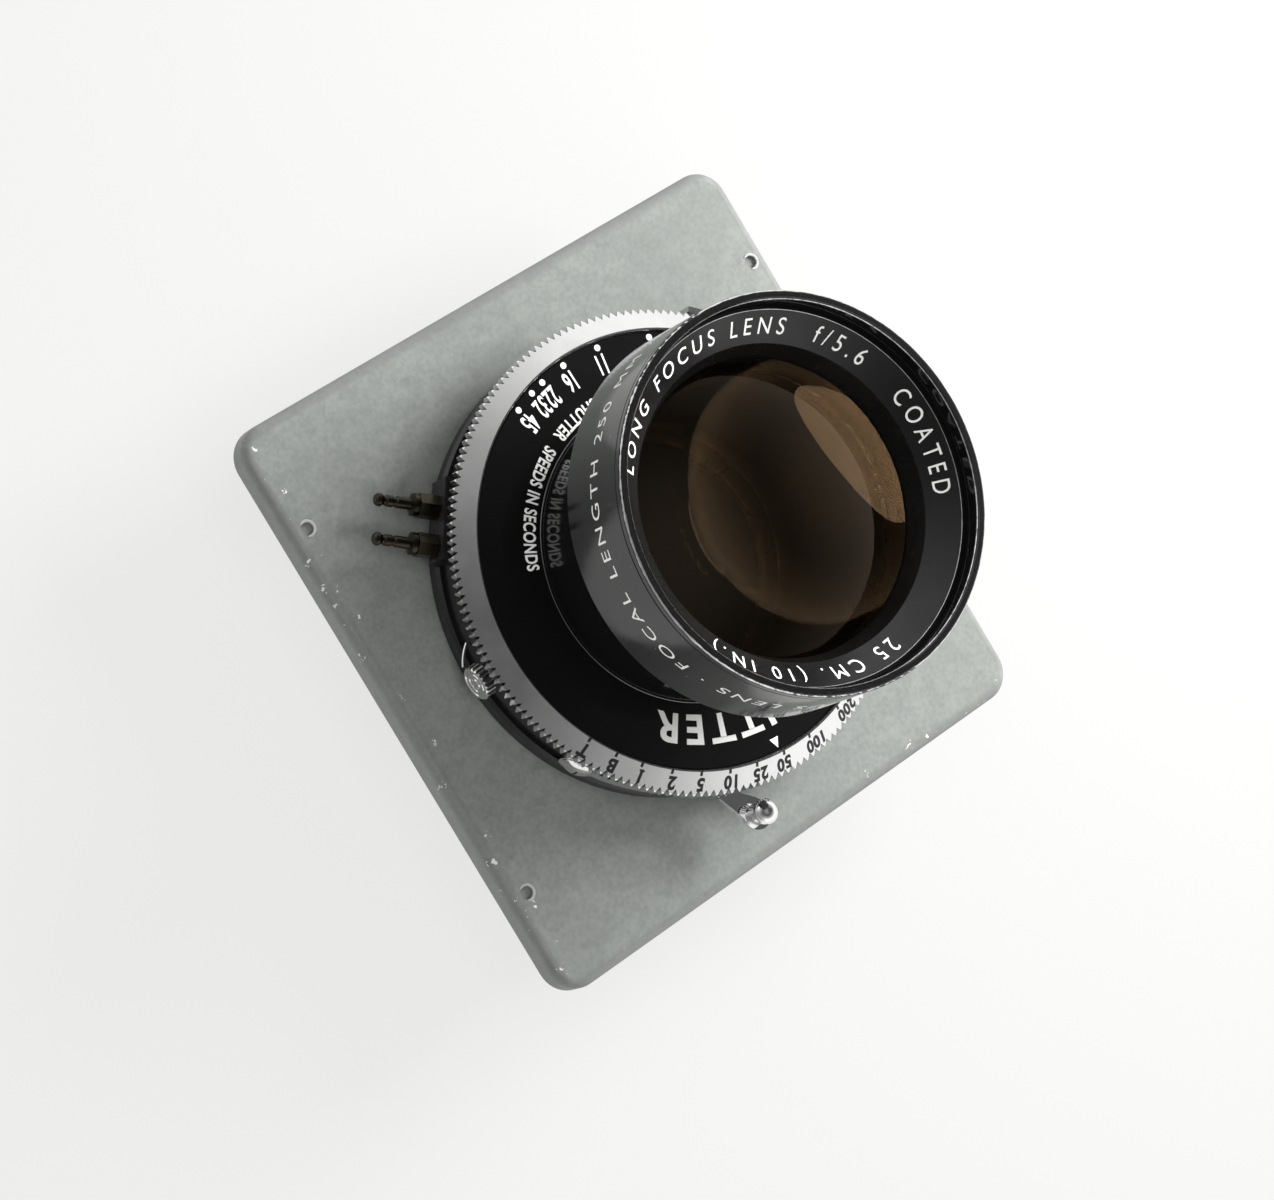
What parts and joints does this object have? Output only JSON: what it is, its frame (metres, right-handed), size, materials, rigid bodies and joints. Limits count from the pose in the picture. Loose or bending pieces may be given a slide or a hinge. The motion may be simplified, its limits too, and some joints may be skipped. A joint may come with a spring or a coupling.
{
  "type": "telephoto lens in leaf shutter on lens board",
  "caption": "Camera lens with a wide front barrel in a leaf shutter with speed, aperture and cocking controls, mounted on a square metal lens board.",
  "frame": {"origin": "on the optical axis, at the rear end of the rear barrel, which is the lowest point when the lens stands on it", "axes": "+Z along the optical axis, out of the front of the lens; +X towards the board edge nearest the press-focus button; +Y towards the board edge nearest the cocking lever"},
  "size_m": [0.0974, 0.0974, 0.0817],
  "materials": {
    "board_paint": "grey hammered paint, satin",
    "black_paint": "black enamel, gloss",
    "steel": "bright nickel-plated steel",
    "black_steel": "blackened thin steel, matt",
    "brass": "machined brass",
    "chrome": "satin chrome plate",
    "black_brass": "blackened brass",
    "bakelite": "black moulded resin",
    "aluminium": "machined, satin",
    "glass": "clear glass with an amber anti-reflection coating"
  },
  "bodies": {
    "case": {"lens_board": "board_paint", "light_trap_frame": "black_paint", "shutter_case": "black_paint", "face_plate": "black_paint", "front_barrel": "black_paint", "rear_barrel": "black_paint", "front_name_ring": "black_paint", "rear_retaining_ring": "black_paint", "shutter_retaining_ring": "steel", "speed_click_spring": "steel", "main_spring": "steel", "press_focus_spring": "steel", "mechanism_screws": "steel", "release_lever_screw": "steel", "gear_plate": "brass", "mechanism_plate": "brass", "iris_base_ring": "brass", "gear_bridge": "brass", "contact_arm": "brass", "cable_release_socket": "chrome", "contact_nuts": "black_brass", "contact_pin_upper": "black_brass", "contact_pin_lower": "black_brass", "contact_block": "bakelite", "front_tube": "aluminium", "front_convex_element": "glass", "front_concave_element": "glass", "rear_concave_element": "glass", "rear_convex_element": "glass"},
    "speed_ring": {"speed_ring": "chrome", "speed_cam_plate": "chrome"},
    "iris_ring": {"iris_cam_ring": "brass", "aperture_lever": "steel"},
    "blade_ring": {"blade_ring": "brass"},
    "press_focus_button": {"press_focus_button": "chrome"},
    "setting_ring": {"setting_ring": "brass", "cocking_lever": "steel", "cocking_knob": "chrome"},
    "star_wheel": {"star_wheel": "brass"},
    "pallet": {"pallet": "steel"},
    "release_lever": {"release_lever": "steel"},
    "release_catch": {"release_catch": "steel"},
    "iris_blade_01": {"iris_blade_01": "black_steel"},
    "iris_blade_02": {"iris_blade_02": "black_steel"},
    "iris_blade_03": {"iris_blade_03": "black_steel"},
    "iris_blade_04": {"iris_blade_04": "black_steel"},
    "iris_blade_05": {"iris_blade_05": "black_steel"},
    "iris_blade_06": {"iris_blade_06": "black_steel"},
    "iris_blade_07": {"iris_blade_07": "black_steel"},
    "iris_blade_08": {"iris_blade_08": "black_steel"},
    "iris_blade_09": {"iris_blade_09": "black_steel"},
    "iris_blade_10": {"iris_blade_10": "black_steel"},
    "shutter_blade_1": {"shutter_blade_1": "black_steel"},
    "shutter_blade_2": {"shutter_blade_2": "black_steel"},
    "shutter_blade_3": {"shutter_blade_3": "black_steel"},
    "shutter_blade_4": {"shutter_blade_4": "black_steel"},
    "shutter_blade_5": {"shutter_blade_5": "black_steel"}
  },
  "joints": [
    {"name": "speed_ring_turn", "type": "hinge", "parent": "case", "child": "speed_ring", "pos_m": [0, 0, 0.0415], "axis": [0, 0, 1], "range_deg": [-23.5, 56]},
    {"name": "aperture_turn", "type": "hinge", "parent": "case", "child": "iris_ring", "pos_m": [0, 0, 0.033], "axis": [0, 0, 1], "range_deg": [0, 63.6]},
    {"name": "iris_blade_01_swing", "type": "hinge", "parent": "case", "child": "iris_blade_01", "pos_m": [0.0256, 0, 0.0315], "axis": [0, 0, 1], "range_deg": [0, 31.9]},
    {"name": "iris_blade_02_swing", "type": "hinge", "parent": "case", "child": "iris_blade_02", "pos_m": [0.02071, 0.01505, 0.0315], "axis": [0, 0, 1], "range_deg": [0, 31.9]},
    {"name": "iris_blade_03_swing", "type": "hinge", "parent": "case", "child": "iris_blade_03", "pos_m": [0.00791, 0.02435, 0.0315], "axis": [0, 0, 1], "range_deg": [0, 31.9]},
    {"name": "iris_blade_04_swing", "type": "hinge", "parent": "case", "child": "iris_blade_04", "pos_m": [-0.00791, 0.02435, 0.0315], "axis": [0, 0, 1], "range_deg": [0, 31.9]},
    {"name": "iris_blade_05_swing", "type": "hinge", "parent": "case", "child": "iris_blade_05", "pos_m": [-0.02071, 0.01505, 0.0315], "axis": [0, 0, 1], "range_deg": [0, 31.9]},
    {"name": "iris_blade_06_swing", "type": "hinge", "parent": "case", "child": "iris_blade_06", "pos_m": [-0.0256, 0, 0.0315], "axis": [0, 0, 1], "range_deg": [0, 31.9]},
    {"name": "iris_blade_07_swing", "type": "hinge", "parent": "case", "child": "iris_blade_07", "pos_m": [-0.02071, -0.01505, 0.0315], "axis": [0, 0, 1], "range_deg": [0, 31.9]},
    {"name": "iris_blade_08_swing", "type": "hinge", "parent": "case", "child": "iris_blade_08", "pos_m": [-0.00791, -0.02435, 0.0315], "axis": [0, 0, 1], "range_deg": [0, 31.9]},
    {"name": "iris_blade_09_swing", "type": "hinge", "parent": "case", "child": "iris_blade_09", "pos_m": [0.00791, -0.02435, 0.0315], "axis": [0, 0, 1], "range_deg": [0, 31.9]},
    {"name": "iris_blade_10_swing", "type": "hinge", "parent": "case", "child": "iris_blade_10", "pos_m": [0.02071, -0.01505, 0.0315], "axis": [0, 0, 1], "range_deg": [0, 31.9]},
    {"name": "blade_ring_turn", "type": "hinge", "parent": "case", "child": "blade_ring", "pos_m": [0, 0, 0.0358], "axis": [0, 0, 1], "range_deg": [0, 20], "stiffness_Nm_per_rad": 0.01},
    {"name": "shutter_blade_1_swing", "type": "hinge", "parent": "case", "child": "shutter_blade_1", "pos_m": [0.0318, 0, 0.0347], "axis": [0, 0, 1], "range_deg": [-31.05, 0]},
    {"name": "shutter_blade_2_swing", "type": "hinge", "parent": "case", "child": "shutter_blade_2", "pos_m": [0.00983, 0.03024, 0.0347], "axis": [0, 0, 1], "range_deg": [-31.05, 0]},
    {"name": "shutter_blade_3_swing", "type": "hinge", "parent": "case", "child": "shutter_blade_3", "pos_m": [-0.02573, 0.01869, 0.0347], "axis": [0, 0, 1], "range_deg": [-31.05, 0]},
    {"name": "shutter_blade_4_swing", "type": "hinge", "parent": "case", "child": "shutter_blade_4", "pos_m": [-0.02573, -0.01869, 0.0347], "axis": [0, 0, 1], "range_deg": [-31.05, 0]},
    {"name": "shutter_blade_5_swing", "type": "hinge", "parent": "case", "child": "shutter_blade_5", "pos_m": [0.00983, -0.03024, 0.0347], "axis": [0, 0, 1], "range_deg": [-31.05, 0]},
    {"name": "press_focus_push", "type": "slide", "parent": "case", "child": "press_focus_button", "axis": [-0.9997, -0.0227, 0], "range_m": [0, 0.00081]},
    {"name": "cocking_turn", "type": "hinge", "parent": "case", "child": "setting_ring", "pos_m": [0, 0, 0.038], "axis": [0, 0, 1], "range_deg": [0, 36], "stiffness_Nm_per_rad": 0.01},
    {"name": "star_wheel_spin", "type": "hinge", "parent": "case", "child": "star_wheel", "pos_m": [-0.01724, -0.02206, 0.038], "axis": [0, 0, 1], "range_deg": [-301, 1]},
    {"name": "pallet_swing", "type": "hinge", "parent": "case", "child": "pallet", "pos_m": [-0.02404, -0.01622, 0.0385], "axis": [0, 0, 1], "range_deg": [-6, 6]},
    {"name": "release_press", "type": "hinge", "parent": "case", "child": "release_lever", "pos_m": [0.03036, 0.01934, 0.0352], "axis": [-0.8434, -0.5373, 0], "range_deg": [0, 6], "stiffness_Nm_per_rad": 0.02},
    {"name": "release_catch_swing", "type": "hinge", "parent": "case", "child": "release_catch", "pos_m": [0.02021, 0.02244, 0.038], "axis": [0, 0, 1], "range_deg": [-3.1, 0]}
  ],
  "couplings": [
    {"joint": "iris_blade_01_swing", "follows": "aperture_turn", "ratio": 0.5},
    {"joint": "iris_blade_02_swing", "follows": "aperture_turn", "ratio": 0.5},
    {"joint": "iris_blade_03_swing", "follows": "aperture_turn", "ratio": 0.5},
    {"joint": "iris_blade_04_swing", "follows": "aperture_turn", "ratio": 0.5},
    {"joint": "iris_blade_05_swing", "follows": "aperture_turn", "ratio": 0.5},
    {"joint": "iris_blade_06_swing", "follows": "aperture_turn", "ratio": 0.5},
    {"joint": "iris_blade_07_swing", "follows": "aperture_turn", "ratio": 0.5},
    {"joint": "iris_blade_08_swing", "follows": "aperture_turn", "ratio": 0.5},
    {"joint": "iris_blade_09_swing", "follows": "aperture_turn", "ratio": 0.5},
    {"joint": "iris_blade_10_swing", "follows": "aperture_turn", "ratio": 0.5},
    {"joint": "shutter_blade_1_swing", "follows": "blade_ring_turn", "ratio": -1.55},
    {"joint": "shutter_blade_2_swing", "follows": "blade_ring_turn", "ratio": -1.55},
    {"joint": "shutter_blade_3_swing", "follows": "blade_ring_turn", "ratio": -1.55},
    {"joint": "shutter_blade_4_swing", "follows": "blade_ring_turn", "ratio": -1.55},
    {"joint": "shutter_blade_5_swing", "follows": "blade_ring_turn", "ratio": -1.55},
    {"joint": "press_focus_push", "follows": "blade_ring_turn", "m_per_rad": 0.002292},
    {"joint": "star_wheel_spin", "follows": "cocking_turn", "ratio": -8.3333},
    {"joint": "release_catch_swing", "follows": "release_press", "ratio": -0.5}
  ]
}
